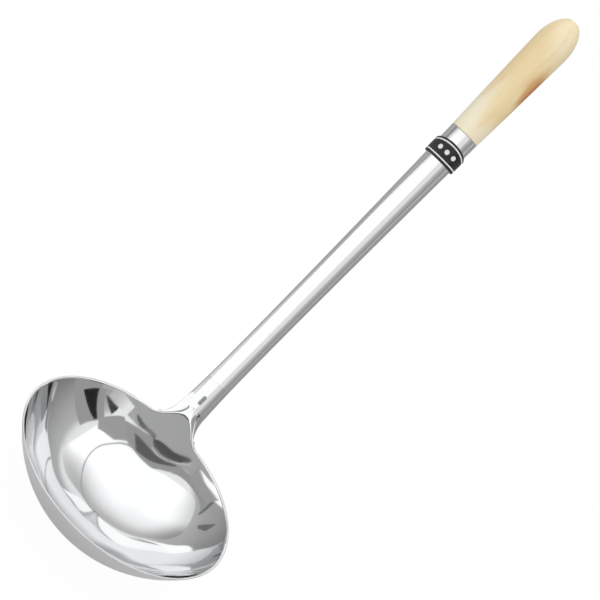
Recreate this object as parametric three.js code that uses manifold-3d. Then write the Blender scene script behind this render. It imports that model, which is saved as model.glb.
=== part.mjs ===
// Wok ladle: a stamped bowl whose neck is rolled out of the same sheet, a tapered
// tube handle plug-welded into that neck, a size collar with two inlaid lines, and a
// turned wooden grip driven into the tube and held by a nail. Millimetres, +Z up.

import * as THREE from 'three';
import { mergeVertices } from 'three/addons/utils/BufferGeometryUtils.js';
import Module from 'manifold-3d';

// Bowl, a spherical dish of sheet steel with its lip ground flat
const BOWL_DIAMETER = 120;        // outside, at the rim
const BOWL_DEPTH = 34;            // outside, from the rim plane to the bottom
const SHEET = 1.2;                // thickness of the bowl and neck

// Neck, an ear of the same sheet. The bowl's curve runs up it to an arched crest, where
// the sheet bends back into the line of the shaft and its flanks roll round into a tube.
const SHAFT_ANGLE = 54;           // degrees between the shaft and the rim plane
const NECK_LENGTH = 30;           // from the rim to the end of the neck
const NECK_DIAMETER = 14.2;       // outside, at the top of the root fillet
const NECK_CLOSE = 24;            // from the rim to where the rolled edges meet
const NECK_SEAM = 0.5;            // slit left between the rolled edges
const CREST_STATION = 6.5;        // top of the arched crest above the rim
const CREST_ROUNDING = 0.4;       // how softly the dish and the neck meet at the crest
const ROOT_FILLET_WIDTH = 8;      // how far the ear spreads along the rim on each side
const ROOT_FILLET_HEIGHT = 14;    // how far up the neck that spread reaches
const ROOT_FLATNESS = 6;          // power of the section at the root, where 2 is round
const ROOT_SWEEP = 10;            // height over which the flanks sweep back from the dish
const ROOT_FOOT = 3;              // height over which the lip turns into the ear's edge
const LIP_TURN = 5;               // height over which the edge turns square to the sheet
const DISH_FADE = 12;             // height over which rows level out from the rim's curve

// Handle tube; stations run along the shaft from the rim
const WAIST_STATION = 58;         // narrowest place
const WAIST_DIAMETER = 12.7;
const TUBE_END_STATION = 198;     // where the grip starts
const TUBE_END_DIAMETER = 15.9;
const TUBE_WALL = 1.0;
const TUBE_SWELL = 1.5;           // power of the taper from the waist to the grip
const SPIGOT_LENGTH = 16;         // reduced end of the tube inside the neck
const SPIGOT_STEP = 2;            // length of the step down to it, inside the tube

// Plug weld that joins the neck to the spigot
const WELD_FROM_NECK_END = 11;    // middle of the weld below the end of the neck
const WELD_LENGTH = 5.5;
const WELD_WIDTH = 2.0;

// Size collar, cut square below and slanted above, higher on the mouth side
const COLLAR_STATION = 180;
const COLLAR_WALL = 0.9;
const COLLAR_FRONT_HEIGHT = 11.2;
const COLLAR_BACK_HEIGHT = 4.4;
const COLLAR_CHAMFER = 0.25;
const LINE_WIDTH = 0.7;           // each inlaid line, along the shaft
const LINE_THICKNESS = 0.35;
const LINE_FIT = 0.2;             // clearance round a line in its groove
const LOWER_LINE_RISE = 1.6;      // middle of the lower line above the collar's foot
const UPPER_LINE_DROP = 1.45;     // middle of the upper line below the collar's top

// Grip, turned from wood
const GRIP_LENGTH = 75.5;         // from the tube end to the butt
const GRIP_DIAMETER = 19.4;       // at the swell
const GRIP_DOME = 16.5;           // length of the rounded end behind the swell
const GRIP_SWELL = 0.85;          // power of the taper up to the swell
const BUTT_FLAT = 5;              // flat left at the butt by the lathe
const TENON_LENGTH = 30;
const TENON_CHAMFER = 1.2;
const SHOULDER_CHAMFER = 0.3;

// Nail that holds the grip, driven from the underside
const NAIL_FROM_END = 7;          // below the tube end
const NAIL_DIAMETER = 1.8;
const NAIL_DEPTH = 7;             // below its head
const NAIL_POINT = 1.6;
const NAIL_HEAD_DIAMETER = 3.4;
const NAIL_HEAD_EDGE = 0.3;
const NAIL_HEAD_HEIGHT = 0.9;

const FIT = 0.3;                  // clearance between pieces that seat on each other

// Facets
const ROUND = 40;                 // sides of a turned piece
const SMALL_ROUND = 16;           // sides of the nail
const END_ARC = 8;                // sides of each round end of the weld
const TUBE_STEPS = 14;            // steps along the tube
const TAPER_STEPS = 8;            // steps along the grip's taper
const DOME_STEPS = 8;             // steps round the grip's end
const HEAD_STEPS = 3;             // steps round the nail's head
const DISH_RINGS = 11;            // rings of the bowl from its bottom to the rim
const DISH_SIDES = 56;            // sides of the bowl away from the neck
const NECK_COLUMNS = 24;          // columns across the ear
const NECK_ROWS = 16;             // rows along the ear
const NECK_ROW_POWER = 1.3;       // rows crowd towards the rim

// The bowl's inner and outer spheres share a centre above the rim plane.
const rimRadius = BOWL_DIAMETER / 2;
const outerSphere = (rimRadius ** 2 + BOWL_DEPTH ** 2) / (2 * BOWL_DEPTH);
const innerSphere = outerSphere - SHEET;
const sphereHeight = outerSphere - BOWL_DEPTH;
const innerRim = Math.sqrt(innerSphere ** 2 - sphereHeight ** 2);

// Directions of the shaft and of its mouth side, in the bowl's frame. Stations start at
// the rim, and the shaft's front line meets the inner sphere at the crest.
const shaftAngle = THREE.MathUtils.degToRad(SHAFT_ANGLE);
const along = new THREE.Vector3(Math.cos(shaftAngle), 0, Math.sin(shaftAngle));
const front = new THREE.Vector3(-Math.sin(shaftAngle), 0, Math.cos(shaftAngle));
const neckRadius = NECK_DIAMETER / 2;
const rimPoint = new THREE.Vector3(innerRim, 0, 0);
const sphereFromRim = new THREE.Vector3(0, 0, sphereHeight).sub(rimPoint);
const axisLift = dishHeight(CREST_STATION, 0) - neckRadius;
const axisStart = rimPoint.clone().addScaledVector(front, axisLift);

// The shaft group has +Z along the shaft, -X on the mouth side and +X underneath.
const shaft = new THREE.Group();
shaft.position.copy(axisStart);
shaft.rotation.y = Math.PI / 2 - shaftAngle;
shaft.updateMatrix();

const wasm = await Module();
wasm.setup();

// Height of the inner sphere towards the mouth side, from the line through the rim
function dishHeight(station, across) {
  const run = station - sphereFromRim.dot(along);
  const square = innerSphere ** 2 - across ** 2 - run ** 2;
  return sphereFromRim.dot(front) - Math.sqrt(Math.max(0, square));
}

// Outer radius of the neck and tube at a station
function shaftRadius(station) {
  const waist = WAIST_DIAMETER / 2;
  if (station > WAIST_STATION) {
    const share = (station - WAIST_STATION) / (TUBE_END_STATION - WAIST_STATION);
    return waist + (TUBE_END_DIAMETER / 2 - waist) * share ** TUBE_SWELL;
  }
  const share = (WAIST_STATION - station) / (WAIST_STATION - ROOT_FILLET_HEIGHT);
  return waist + (neckRadius - waist) * Math.min(share, 1) ** 3;
}

function smooth(value) {
  const x = THREE.MathUtils.clamp(value, 0, 1);
  return x * x * (3 - 2 * x);
}

function steel(color, roughness) {
  return new THREE.MeshStandardMaterial({ color, roughness, metalness: 1 });
}

function plain(color, roughness) {
  return new THREE.MeshStandardMaterial({ color, roughness, metalness: 0 });
}

function piece(name, geometry, material) {
  const mesh = new THREE.Mesh(geometry, material);
  mesh.name = name;
  return mesh;
}

function toSolid(geometry) {
  const bare = geometry.clone();
  bare.deleteAttribute('normal');
  bare.deleteAttribute('uv');
  const merged = mergeVertices(bare, 1e-4);
  return new wasm.Manifold(new wasm.Mesh({
    numProp: 3,
    vertProperties: new Float32Array(merged.attributes.position.array),
    triVerts: new Uint32Array(merged.index.array),
  }));
}

function toGeometry(solid) {
  const mesh = solid.getMesh();
  const geometry = new THREE.BufferGeometry();
  geometry.setAttribute('position', new THREE.BufferAttribute(mesh.vertProperties, 3));
  geometry.setIndex(new THREE.BufferAttribute(mesh.triVerts, 1));
  geometry.computeVertexNormals();
  return geometry;
}

function cut(geometry, cutter) {
  return toGeometry(toSolid(geometry).subtract(toSolid(cutter)));
}

function fromTriangles(points, triangles) {
  const geometry = new THREE.BufferGeometry().setFromPoints(points);
  geometry.setIndex(triangles);
  geometry.computeVertexNormals();
  return geometry;
}

// A solid turned round +Z from [radius, height] pairs
function turned(profile) {
  const points = profile.map(([radius, height]) => new THREE.Vector2(radius, height));
  return new THREE.LatheGeometry(points, ROUND).rotateX(Math.PI / 2);
}

// A body of sheet: its face, its back with the same vertices, and the edge between them
function sheetBody(face, back, triangles) {
  const count = face.length;
  const all = [...triangles];
  const edges = new Set();
  for (let i = 0; i < triangles.length; i += 3) {
    const corners = triangles.slice(i, i + 3);
    all.push(corners[0] + count, corners[2] + count, corners[1] + count);
    corners.forEach((a, k) => edges.add(`${a} ${corners[(k + 1) % 3]}`));
  }
  for (const edge of edges) {
    const [a, b] = edge.split(' ').map(Number);
    if (!edges.has(`${b} ${a}`)) {
      all.push(b, a, a + count, b, a + count, b + count);
    }
  }
  return fromTriangles([...face, ...back], all);
}

// The lower of two heights, rounded where they cross
function softMin(a, b) {
  const share = THREE.MathUtils.clamp(0.5 + (b - a) / (2 * CREST_ROUNDING), 0, 1);
  return b + (a - b) * share - CREST_ROUNDING * share * (1 - share);
}

// How far the ear's edges are rolled round at a station: to the sides at the rim, and to
// the seam behind where the roll is closed
function rollAngle(station) {
  const closed = Math.PI - NECK_SEAM / NECK_DIAMETER;
  return THREE.MathUtils.lerp(Math.PI / 2, closed, smooth(station / NECK_CLOSE));
}

// Half the ear's width as seen from the front, with the root fillet a quarter ellipse
function earHalfWidth(station) {
  const x = Math.max(0, 1 - station / ROOT_FILLET_HEIGHT);
  return shaftRadius(station) + ROOT_FILLET_WIDTH * (1 - Math.sqrt(1 - x * x));
}

// A point of the ear's face, where side runs from -1 to 1 across the ear. The neck's
// section is flattened at the root and round above it, and the dish cuts it off below
// the crest. On the rim the point lies on the lip.
function earPoint(side, station) {
  const aboveLip = smooth(station / ROOT_FOOT);
  const turn = Math.abs(side) * rollAngle(station);
  const reach = THREE.MathUtils.lerp(Math.abs(side), Math.sin(turn), aboveLip);
  const across = earHalfWidth(station) * reach;
  const power = THREE.MathUtils.lerp(ROOT_FLATNESS, 2, smooth(station / ROOT_FILLET_HEIGHT));
  const fall = Math.max(0, 1 - reach ** power) ** (1 / power);
  const round = Math.sign(Math.cos(turn)) * fall;
  const swept = THREE.MathUtils.lerp(1, round, smooth(station / ROOT_SWEEP));
  const rolled = shaftRadius(station) * swept;
  const sag = innerRim - Math.sqrt(innerRim ** 2 - across ** 2);
  const drop = sag * Math.cos(shaftAngle) * (1 - smooth(station / DISH_FADE));
  const dish = dishHeight(station - drop, across) - axisLift;
  const height = THREE.MathUtils.lerp(dish, softMin(rolled, dish), aboveLip);
  return axisStart.clone()
    .addScaledVector(along, station - drop)
    .addScaledVector(front, height)
    .add(new THREE.Vector3(0, Math.sign(side) * across, 0));
}

// The direction of the ear's face, towards the mouth and the outside of the roll
function earNormal(side, station) {
  const step = 0.01;
  const from = Math.max(0, station - step);
  const up = earPoint(side, station + step).sub(earPoint(side, from));
  const across = earPoint(side + step, station).sub(earPoint(side - step, station));
  return up.cross(across).normalize();
}

// Bowl and neck as one sheet: rings of the dish, then rows of the ear from the rim on
function bowlSheet() {
  const sides = Array.from({ length: NECK_COLUMNS + 1 }, (_, c) => -1 + (2 * c) / NECK_COLUMNS);
  const azimuths = sides.map((side) => Math.asin(earPoint(side, 0).y / innerRim));
  const rootEdge = azimuths[NECK_COLUMNS];
  for (let k = 1; k < DISH_SIDES; k += 1) {
    azimuths.push(rootEdge + ((2 * Math.PI - 2 * rootEdge) * k) / DISH_SIDES);
  }
  const around = azimuths.length;
  const face = [new THREE.Vector3(0, 0, sphereHeight - innerSphere)];
  const back = [new THREE.Vector3(0, 0, -BOWL_DEPTH)];
  const rimAngle = (sphere) => Math.acos(sphereHeight / sphere);
  const onSphere = (sphere, share, azimuth) => {
    const polar = rimAngle(sphere) * share;
    const radius = sphere * Math.sin(polar);
    const height = sphereHeight - sphere * Math.cos(polar);
    return new THREE.Vector3(radius * Math.cos(azimuth), radius * Math.sin(azimuth), height);
  };
  for (let ring = 1; ring <= DISH_RINGS; ring += 1) {
    for (const azimuth of azimuths) {
      face.push(onSphere(innerSphere, ring / DISH_RINGS, azimuth));
      back.push(onSphere(outerSphere, ring / DISH_RINGS, azimuth));
    }
  }
  const rimStart = 1 + (DISH_RINGS - 1) * around;
  for (let row = 1; row <= NECK_ROWS; row += 1) {
    const station = NECK_LENGTH * (row / NECK_ROWS) ** NECK_ROW_POWER;
    sides.forEach((side, c) => {
      const point = earPoint(side, station);
      const lip = back[rimStart + c].clone().sub(face[rimStart + c]);
      const inward = earNormal(side, station).multiplyScalar(-SHEET);
      face.push(point);
      back.push(point.clone().add(lip.lerp(inward, smooth(station / LIP_TURN))));
    });
  }

  const triangles = [];
  const quad = (a, b, c, d) => triangles.push(a, b, c, a, c, d);
  for (let k = 0; k < around; k += 1) {
    const next = (k + 1) % around;
    triangles.push(0, 1 + k, 1 + next);
    for (let ring = 1; ring < DISH_RINGS; ring += 1) {
      const inner = 1 + (ring - 1) * around;
      const outer = inner + around;
      quad(inner + k, outer + k, outer + next, inner + next);
    }
  }
  const earStart = rimStart + around;
  const rowStart = (row) => (row === 0 ? rimStart : earStart + (row - 1) * (NECK_COLUMNS + 1));
  for (let row = 0; row < NECK_ROWS; row += 1) {
    const low = rowStart(row);
    const high = rowStart(row + 1);
    for (let c = 0; c < NECK_COLUMNS; c += 1) {
      quad(low + c, high + c, high + c + 1, low + c + 1);
    }
  }
  return sheetBody(face, back, triangles);
}

const weldStation = NECK_LENGTH - WELD_FROM_NECK_END;

// A round-ended bar that stands on the shaft axis and points to the mouth side
function weldBar(length, width, bottom, top) {
  const outline = new THREE.Shape();
  const reach = (length - width) / 2;
  outline.absarc(reach, 0, width / 2, -Math.PI / 2, Math.PI / 2, false);
  outline.absarc(-reach, 0, width / 2, Math.PI / 2, (3 * Math.PI) / 2, false);
  const settings = { depth: top - bottom, bevelEnabled: false, curveSegments: END_ARC };
  const turn = new THREE.Matrix4().makeBasis(
    new THREE.Vector3(0, 0, 1),
    new THREE.Vector3(0, 1, 0),
    new THREE.Vector3(-1, 0, 0),
  );
  return new THREE.ExtrudeGeometry(outline, settings)
    .applyMatrix4(turn)
    .translate(-bottom, 0, weldStation);
}

const spigotRadius = shaftRadius(NECK_LENGTH) - SHEET - FIT;

function bowl() {
  const slot = weldBar(WELD_LENGTH + 2 * FIT, WELD_WIDTH + 2 * FIT, spigotRadius, NECK_DIAMETER)
    .applyMatrix4(shaft.matrix);
  return piece('bowl', cut(bowlSheet(), slot), steel(0xd8dadb, 0.1));
}

function plugWeld() {
  const bar = weldBar(WELD_LENGTH, WELD_WIDTH, spigotRadius + FIT, shaftRadius(weldStation));
  return piece('neck_plug_weld', bar, steel(0xa9abac, 0.35));
}

// Bar along the nail's axis, from the underside towards the shaft axis
function nailBore(radius, from, to) {
  return new THREE.CylinderGeometry(radius, radius, to - from, SMALL_ROUND)
    .rotateZ(Math.PI / 2)
    .translate((from + to) / 2, 0, TUBE_END_STATION - NAIL_FROM_END);
}

const nailSeat = shaftRadius(TUBE_END_STATION - NAIL_FROM_END) + FIT;
const nailTip = nailSeat - NAIL_DEPTH;
const nailHole = NAIL_DIAMETER / 2 + FIT;

function handleTube() {
  const foot = NECK_LENGTH + FIT;
  const spigotFoot = NECK_LENGTH - SPIGOT_LENGTH;
  const spigotBore = spigotRadius - TUBE_WALL;
  const outside = [];
  const inside = [];
  for (let i = 0; i <= TUBE_STEPS; i += 1) {
    const station = THREE.MathUtils.lerp(foot, TUBE_END_STATION, i / TUBE_STEPS);
    outside.push([shaftRadius(station), station]);
    const within = Math.max(station, foot + SPIGOT_STEP);
    inside.unshift([shaftRadius(within) - TUBE_WALL, within]);
  }
  const profile = [
    [spigotBore, spigotFoot],
    [spigotRadius, spigotFoot],
    [spigotRadius, foot],
    ...outside,
    ...inside,
    [spigotBore, foot],
    [spigotBore, spigotFoot],
  ];
  const hole = nailBore(nailHole, TUBE_END_DIAMETER / 2 - 2 * TUBE_WALL, TUBE_END_DIAMETER);
  return piece('handle_tube', cut(turned(profile), hole), steel(0xd8dadb, 0.12));
}

// A ring that fits round the tube. Each corner of its section has a lift off the tube's
// surface and a rise above the collar's foot, which may change round the shaft.
function ringOnTube(corners) {
  const points = [];
  const triangles = [];
  const many = corners.length;
  for (let i = 0; i < ROUND; i += 1) {
    const angle = (2 * Math.PI * i) / ROUND;
    for (const { lift, rise } of corners) {
      const station = COLLAR_STATION + rise(angle);
      const radius = shaftRadius(station) + lift;
      points.push(new THREE.Vector3(radius * Math.cos(angle), radius * Math.sin(angle), station));
    }
    const here = i * many;
    const there = ((i + 1) % ROUND) * many;
    for (let k = 0; k < many; k += 1) {
      const next = (k + 1) % many;
      triangles.push(here + k, there + k, there + next, here + k, there + next, here + next);
    }
  }
  return fromTriangles(points, triangles);
}

const collarOutside = FIT + COLLAR_WALL;
const collarMiddle = (COLLAR_FRONT_HEIGHT + COLLAR_BACK_HEIGHT) / 2;
const collarSlant = (COLLAR_FRONT_HEIGHT - COLLAR_BACK_HEIGHT) / 2;
const square = (height) => () => height;
const slanted = (drop) => (angle) => collarMiddle - collarSlant * Math.cos(angle) - drop;

function sizeCollar() {
  const outer = (rise) => ({ lift: collarOutside, rise });
  const floor = (rise) => ({ lift: collarOutside - LINE_THICKNESS - LINE_FIT, rise });
  const half = LINE_WIDTH / 2 + LINE_FIT;
  const corners = [
    { lift: FIT, rise: square(0) },
    { lift: collarOutside - COLLAR_CHAMFER, rise: square(0) },
    outer(square(COLLAR_CHAMFER)),
    outer(square(LOWER_LINE_RISE - half)),
    floor(square(LOWER_LINE_RISE - half)),
    floor(square(LOWER_LINE_RISE + half)),
    outer(square(LOWER_LINE_RISE + half)),
    outer(slanted(UPPER_LINE_DROP + half)),
    floor(slanted(UPPER_LINE_DROP + half)),
    floor(slanted(UPPER_LINE_DROP - half)),
    outer(slanted(UPPER_LINE_DROP - half)),
    outer(slanted(COLLAR_CHAMFER)),
    { lift: collarOutside - COLLAR_CHAMFER, rise: slanted(0) },
    { lift: FIT, rise: slanted(0) },
  ];
  return piece('size_collar', ringOnTube(corners), plain(0x161616, 0.4));
}

function collarLine(name, rise) {
  const low = collarOutside - LINE_THICKNESS;
  const corners = [
    { lift: low, rise: rise(-LINE_WIDTH / 2) },
    { lift: collarOutside, rise: rise(-LINE_WIDTH / 2) },
    { lift: collarOutside, rise: rise(LINE_WIDTH / 2) },
    { lift: low, rise: rise(LINE_WIDTH / 2) },
  ];
  return piece(name, ringOnTube(corners), plain(0xf2f2ee, 0.4));
}

function grip() {
  const shoulder = TUBE_END_STATION + FIT;
  const tenonFoot = TUBE_END_STATION - TENON_LENGTH;
  const tenonRadius = (station) => shaftRadius(station) - TUBE_WALL - FIT;
  const swell = GRIP_DIAMETER / 2;
  const taperLength = GRIP_LENGTH - FIT - GRIP_DOME;
  const startRadius = TUBE_END_DIAMETER / 2;
  const profile = [
    [0, tenonFoot],
    [tenonRadius(tenonFoot) - TENON_CHAMFER, tenonFoot],
    [tenonRadius(tenonFoot + TENON_CHAMFER), tenonFoot + TENON_CHAMFER],
    [tenonRadius(TUBE_END_STATION), TUBE_END_STATION],
    [tenonRadius(TUBE_END_STATION), shoulder],
    [startRadius - SHOULDER_CHAMFER, shoulder],
  ];
  for (let i = 0; i <= TAPER_STEPS; i += 1) {
    const height = THREE.MathUtils.lerp(SHOULDER_CHAMFER, taperLength, i / TAPER_STEPS);
    const share = (height / taperLength) ** GRIP_SWELL;
    profile.push([startRadius + (swell - startRadius) * share, shoulder + height]);
  }
  const domeEnd = Math.acos(BUTT_FLAT / GRIP_DIAMETER);
  for (let i = 1; i <= DOME_STEPS; i += 1) {
    const angle = (domeEnd * i) / DOME_STEPS;
    const height = (GRIP_DOME * Math.sin(angle)) / Math.sin(domeEnd);
    profile.push([swell * Math.cos(angle), shoulder + taperLength + height]);
  }
  profile.push([0, TUBE_END_STATION + GRIP_LENGTH]);
  const hole = nailBore(nailHole, nailTip - FIT, TUBE_END_DIAMETER);
  return piece('grip', cut(turned(profile), hole), plain(0xe8d2a0, 0.6));
}

function gripNail() {
  const shank = NAIL_DIAMETER / 2;
  const head = NAIL_HEAD_DIAMETER / 2;
  const profile = [
    [0, 0],
    [shank, NAIL_POINT],
    [shank, NAIL_DEPTH],
    [head, NAIL_DEPTH],
  ];
  const crown = NAIL_HEAD_HEIGHT - NAIL_HEAD_EDGE;
  for (let i = 0; i < HEAD_STEPS; i += 1) {
    const angle = (Math.PI / 2) * (i / HEAD_STEPS);
    const height = NAIL_DEPTH + NAIL_HEAD_EDGE + crown * Math.sin(angle);
    profile.push([head * Math.cos(angle), height]);
  }
  profile.push([0, NAIL_DEPTH + NAIL_HEAD_HEIGHT]);
  const points = profile.map(([radius, height]) => new THREE.Vector2(radius, height));
  const geometry = new THREE.LatheGeometry(points, SMALL_ROUND)
    .rotateZ(-Math.PI / 2)
    .translate(nailTip, 0, TUBE_END_STATION - NAIL_FROM_END);
  return piece('grip_nail', geometry, steel(0xb9babb, 0.3));
}

shaft.add(
  handleTube(),
  plugWeld(),
  sizeCollar(),
  collarLine('collar_line_lower', (offset) => square(LOWER_LINE_RISE + offset)),
  collarLine('collar_line_upper', (offset) => slanted(UPPER_LINE_DROP - offset)),
  grip(),
  gripNail(),
);

// The origin lies under the middle of the ladle, level with the bottom of the bowl.
const ladle = new THREE.Group();
ladle.add(bowl(), shaft);
const box = new THREE.Box3().setFromObject(ladle, true);
ladle.position.set(-(box.min.x + box.max.x) / 2, 0, -box.min.z);

const part = new THREE.Group();
part.add(ladle);
export default part;
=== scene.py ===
# Looks of the wok ladle: fine meshes for its pieces, their finishes, the studio and the camera.
import math

import bpy
import numpy as np
from mathutils import Matrix, Vector


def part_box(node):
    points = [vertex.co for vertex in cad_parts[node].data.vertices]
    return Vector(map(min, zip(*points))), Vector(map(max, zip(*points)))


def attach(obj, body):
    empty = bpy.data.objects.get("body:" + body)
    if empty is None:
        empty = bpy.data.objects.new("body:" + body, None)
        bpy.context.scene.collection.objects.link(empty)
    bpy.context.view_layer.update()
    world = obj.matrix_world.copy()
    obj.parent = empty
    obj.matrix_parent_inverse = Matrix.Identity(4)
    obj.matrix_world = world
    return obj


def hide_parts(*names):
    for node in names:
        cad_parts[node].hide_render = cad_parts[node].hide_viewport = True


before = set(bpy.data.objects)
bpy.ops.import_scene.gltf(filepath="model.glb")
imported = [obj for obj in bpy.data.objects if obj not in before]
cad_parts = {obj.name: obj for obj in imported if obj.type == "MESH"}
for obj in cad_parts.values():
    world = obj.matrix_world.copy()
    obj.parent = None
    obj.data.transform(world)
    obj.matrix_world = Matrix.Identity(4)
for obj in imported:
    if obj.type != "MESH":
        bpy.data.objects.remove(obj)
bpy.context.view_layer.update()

MM = 0.001                      # the sizes below are in millimetres

# Bowl and neck
BOWL_DIAMETER = 120.0
BOWL_DEPTH = 34.0
SHEET = 1.2
SHAFT_ANGLE = math.radians(54)
NECK_LENGTH = 30.0
NECK_DIAMETER = 14.2
NECK_CLOSE = 24.0
NECK_SEAM = 0.5
CREST_STATION = 6.5
CREST_ROUNDING = 0.4
ROOT_FILLET_WIDTH = 8.0
ROOT_FILLET_HEIGHT = 14.0
ROOT_FLATNESS = 6.0
ROOT_SWEEP = 10.0
ROOT_FOOT = 3.0
LIP_TURN = 5.0
DISH_FADE = 12.0
EDGE_CROWN = 0.2                # how far the sheet's rounded edges stand out
RIM_CROWN = 0.55                # the same for the bowl's rim
TRIM = 0.12                     # kept inside the flats of the solid
TUBE_LAP = 0.05                 # the ground joint closes the gap between neck and tube

# Handle tube and its plug weld
WAIST_STATION = 58.0
WAIST_DIAMETER = 12.7
TUBE_END_STATION = 198.0
TUBE_END_DIAMETER = 15.9
TUBE_WALL = 1.0
TUBE_SWELL = 1.5
SPIGOT_LENGTH = 16.0
SPIGOT_STEP = 2.0
WELD_FROM_NECK_END = 11.0
WELD_LENGTH = 5.5
WELD_WIDTH = 2.0
WELD_CROWN = 0.14               # how far the bead stands out of the neck
WELD_FLATNESS = 4
WELD_SINK = 0.02                # how far its edge lies under the neck's face
WELD_ROOT = 0.5                 # how deep the bead goes into the sheet

# Size collar
COLLAR_STATION = 180.0
COLLAR_WALL = 0.9
COLLAR_FRONT_HEIGHT = 11.2
COLLAR_BACK_HEIGHT = 4.4
LINE_WIDTH = 0.7
LINE_THICKNESS = 0.35
LINE_FIT = 0.2
LOWER_LINE_RISE = 1.6
UPPER_LINE_DROP = 1.45
COLLAR_ROUNDING = 0.18
LINE_ROUNDING = 0.1
DOT_PITCH = 4.6                 # between the plain dots printed round its front
DOT_RADIUS = 1.25
DOT_RISE = 5.6                  # above the collar's foot
DOT_EDGE = 0.12                 # soft edge of the print

# Grip and its nail
GRIP_LENGTH = 75.5
GRIP_DIAMETER = 19.4
GRIP_DOME = 16.5
GRIP_SWELL = 0.85
GRIP_EDGE = 0.35                # rounding of its lower edge
GRIP_EDGE_CUT = 0.1
BUTT_FLAT = 5.0
TENON_LENGTH = 30.0
TENON_CHAMFER = 1.2
NAIL_FROM_END = 7.0
NAIL_DIAMETER = 1.8
NAIL_DEPTH = 7.0
NAIL_POINT = 1.6
NAIL_HEAD_DIAMETER = 3.4
NAIL_HEAD_EDGE = 0.3
NAIL_HEAD_ROUNDING = 0.1
NAIL_HEAD_HEIGHT = 0.9
FIT = 0.3                       # clearance between pieces

# Fineness of the meshes
DISH_RINGS = 64
DISH_SIDES = 200
EAR_COLUMNS = 96
EAR_ROWS = 80
EAR_ROW_POWER = 1.3
EDGE_STEPS = 6
TURNED_SIDES = 128
TUBE_STEPS = 56
GRIP_STEPS = 40
GRIP_STEP_POWER = 1.3
NAIL_HEAD_STEPS = 8
WELD_RINGS = 10
WELD_SIDES = 64
ROUNDING_STEPS = 4
ROUNDING_REACH = 0.45           # largest share of a side that a rounding takes
CORNER_ANGLE = math.radians(50)  # sharper edges than this aren't shaded as one curve
RIM_BLEND = 0.3                 # angle in which the rim takes its round edge
EDGE_MARGIN = 0.004             # last share of a sheet, next to its rounded edge

# Camera, fitted to the photograph: seen from the mouth side, across the shaft
CAMERA_ELEVATION = math.radians(33.03)
CAMERA_SWING = math.radians(-0.29)      # from the plane of the shaft
CAMERA_ROLL = math.radians(44.43)
CAMERA_DISTANCE = 6000.0
CAMERA_TARGET = (0.20, 0.38, 120.0)
CAMERA_LENS = 757.3

# Where the bowl's rim and the shaft lie in the frame
rim_radius = BOWL_DIAMETER / 2
outer_sphere = (rim_radius ** 2 + BOWL_DEPTH ** 2) / (2 * BOWL_DEPTH)
inner_sphere = outer_sphere - SHEET
sphere_height = outer_sphere - BOWL_DEPTH
inner_rim = math.sqrt(inner_sphere ** 2 - sphere_height ** 2)
bowl_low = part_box("bowl")[0] / MM
rim_centre = Vector((bowl_low.x + rim_radius, 0, bowl_low.z + BOWL_DEPTH))
along = np.array([math.cos(SHAFT_ANGLE), 0, math.sin(SHAFT_ANGLE)])
front = np.array([-math.sin(SHAFT_ANGLE), 0, math.cos(SHAFT_ANGLE)])
rim_point = np.array([inner_rim, 0, 0])
sphere_from_rim = np.array([0, 0, sphere_height]) - rim_point
neck_radius = NECK_DIAMETER / 2


def smooth(value):
    """An even start and end on the way from 0 to 1."""
    x = np.clip(value, 0, 1)
    return x * x * (3 - 2 * x)


def lerp(a, b, share):
    """A share of the way from one value to another."""
    return a + (b - a) * share


def dish_height(station, across):
    """Height of the inner sphere towards the mouth side, from the line through the rim."""
    run = station - sphere_from_rim @ along
    square = inner_sphere ** 2 - across ** 2 - run ** 2
    return sphere_from_rim @ front - np.sqrt(np.maximum(0, square))


axis_lift = dish_height(CREST_STATION, 0) - neck_radius
axis_start = rim_point + axis_lift * front
bowl_place = Matrix.Translation(rim_centre)
shaft_start = rim_centre + Vector(axis_start)
shaft_lean = math.pi / 2 - SHAFT_ANGLE
shaft_place = Matrix.Translation(shaft_start) @ Matrix.Rotation(shaft_lean, 4, "Y")


def shaft_radius(station):
    """Outer radius of the neck and tube at a station."""
    waist = WAIST_DIAMETER / 2
    upper = np.maximum(0, station - WAIST_STATION) / (TUBE_END_STATION - WAIST_STATION)
    lower = np.clip((WAIST_STATION - station) / (WAIST_STATION - ROOT_FILLET_HEIGHT), 0, 1)
    swell = (TUBE_END_DIAMETER / 2 - waist) * upper ** TUBE_SWELL
    return waist + swell + (neck_radius - waist) * lower ** 3


# Meshes

def make_piece(name, points, faces, place, material, nodes, slot):
    """A smooth mesh, set in its place, that rides on the ladle and stands for CAD nodes."""
    turn, shift = np.array(place.to_3x3()), np.array(place.translation)
    points = (np.asarray(points) @ turn.T + shift) * MM
    mesh = bpy.data.meshes.new(name)
    mesh.from_pydata(points.tolist(), [], faces)
    mesh.validate()
    mesh.shade_smooth()
    mesh.set_sharp_from_angle(angle=CORNER_ANGLE)
    mesh.materials.append(material)
    made = bpy.data.objects.new(name, mesh)
    bpy.context.scene.collection.objects.link(made)
    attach(made, "root")
    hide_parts(*nodes)


def rounded(corners, radius):
    """Corner points (angles, corners, 2) of closed sections, each corner cut by a small curve."""
    before = np.roll(corners, 1, axis=1) - corners
    after = np.roll(corners, -1, axis=1) - corners
    before_length = np.linalg.norm(before, axis=2, keepdims=True)
    after_length = np.linalg.norm(after, axis=2, keepdims=True)
    reach = np.minimum(radius, ROUNDING_REACH * np.minimum(before_length, after_length))
    start = corners + before / before_length * reach
    end = corners + after / after_length * reach
    shares = np.linspace(0, 1, ROUNDING_STEPS + 1)
    curve = [(1 - t) ** 2 * start + 2 * t * (1 - t) * corners + t * t * end for t in shares]
    return np.stack(curve, axis=2).reshape(len(corners), -1, 2)


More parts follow.
